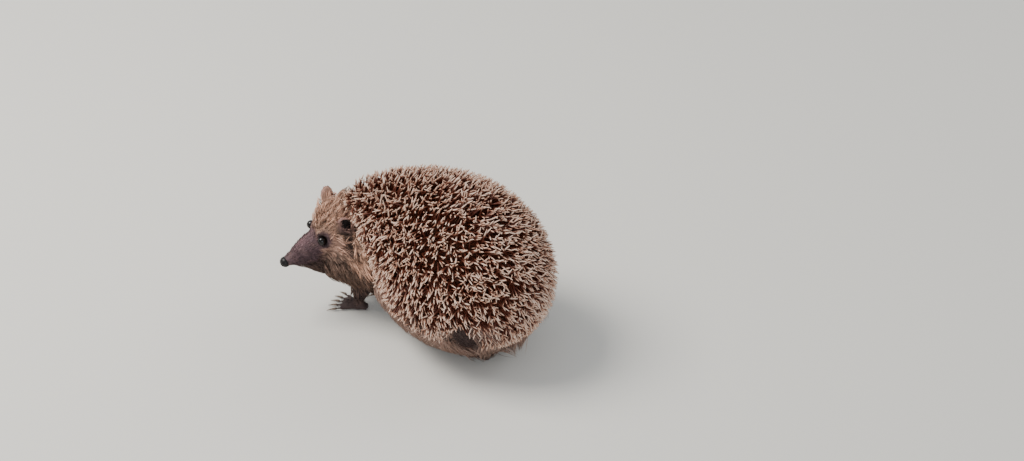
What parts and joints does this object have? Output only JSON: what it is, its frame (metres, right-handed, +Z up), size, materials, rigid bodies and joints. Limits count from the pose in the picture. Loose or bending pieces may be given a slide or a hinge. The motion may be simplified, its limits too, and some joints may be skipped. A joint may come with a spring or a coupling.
{
  "type": "hedgehog figure",
  "caption": "Life-size still figure of a European hedgehog on all fours, its spiny back arched and its head turned aside.",
  "frame": {"origin": "middle of the whole animal's box in X and Y, at the level of its soles", "axes": "+X towards the rump and -X towards the head, -Y towards the animal's own left, +Z up"},
  "size_m": [0.2026, 0.1424, 0.1382],
  "materials": {
    "spines": "smooth horny spines, cream tips and roots with a dark brown band between them",
    "hair": "coarse matt tan and brown hair",
    "dark_hair": "short matt dark brown hair",
    "skin": "bare wrinkled greyish brown skin",
    "nose": "moist pebbled black skin",
    "eye": "wet and glossy, almost black",
    "claw": "smooth horn"
  },
  "bodies": {
    "root": {"spiny_back": "spines", "belly": "hair", "neck": "hair", "tail": "hair", "head": "hair", "muzzle": "dark_hair", "lower_jaw": "dark_hair", "nose": "nose", "eye_left": "eye", "eye_right": "eye", "ear_left": "dark_hair", "ear_right": "dark_hair", "leg_front_left": "dark_hair", "foot_front_left": "skin", "leg_front_right": "dark_hair", "foot_front_right": "skin", "leg_hind_left": "dark_hair", "foot_hind_left": "skin", "leg_hind_right": "dark_hair", "foot_hind_right": "skin"}
  },
  "joints": []
}
